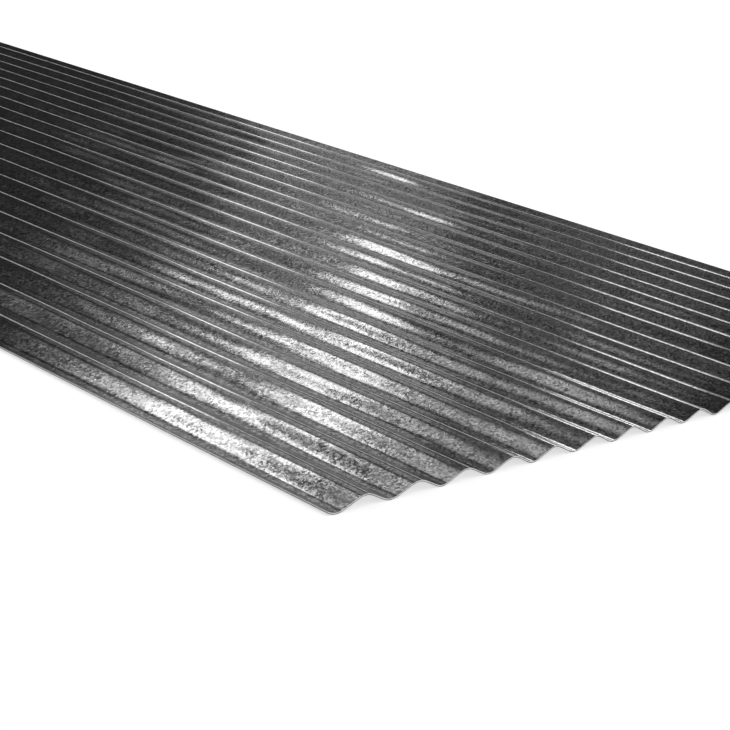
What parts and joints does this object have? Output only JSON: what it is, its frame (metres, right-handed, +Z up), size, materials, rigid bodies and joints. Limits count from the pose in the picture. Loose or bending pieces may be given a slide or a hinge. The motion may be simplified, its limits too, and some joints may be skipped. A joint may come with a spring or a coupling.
{
  "type": "corrugated steel sheet",
  "caption": "Flat-lying galvanised steel sheet with shallow rolled waves along its length, one long edge down and the other up, square-cut ends.",
  "frame": {"origin": "middle of the sheet's bounding box, on the floor that its valleys rest on", "axes": "+Y along the waves and the cut length, +X across the waves from the down edge to the up edge, +Z up"},
  "size_m": [0.6196, 1.2192, 0.0057],
  "materials": {
    "galvanised_steel": "bright hot-dip galvanised, fine spangle, unpainted"
  },
  "bodies": {
    "root": {"corrugated_sheet": "galvanised_steel"}
  },
  "joints": []
}
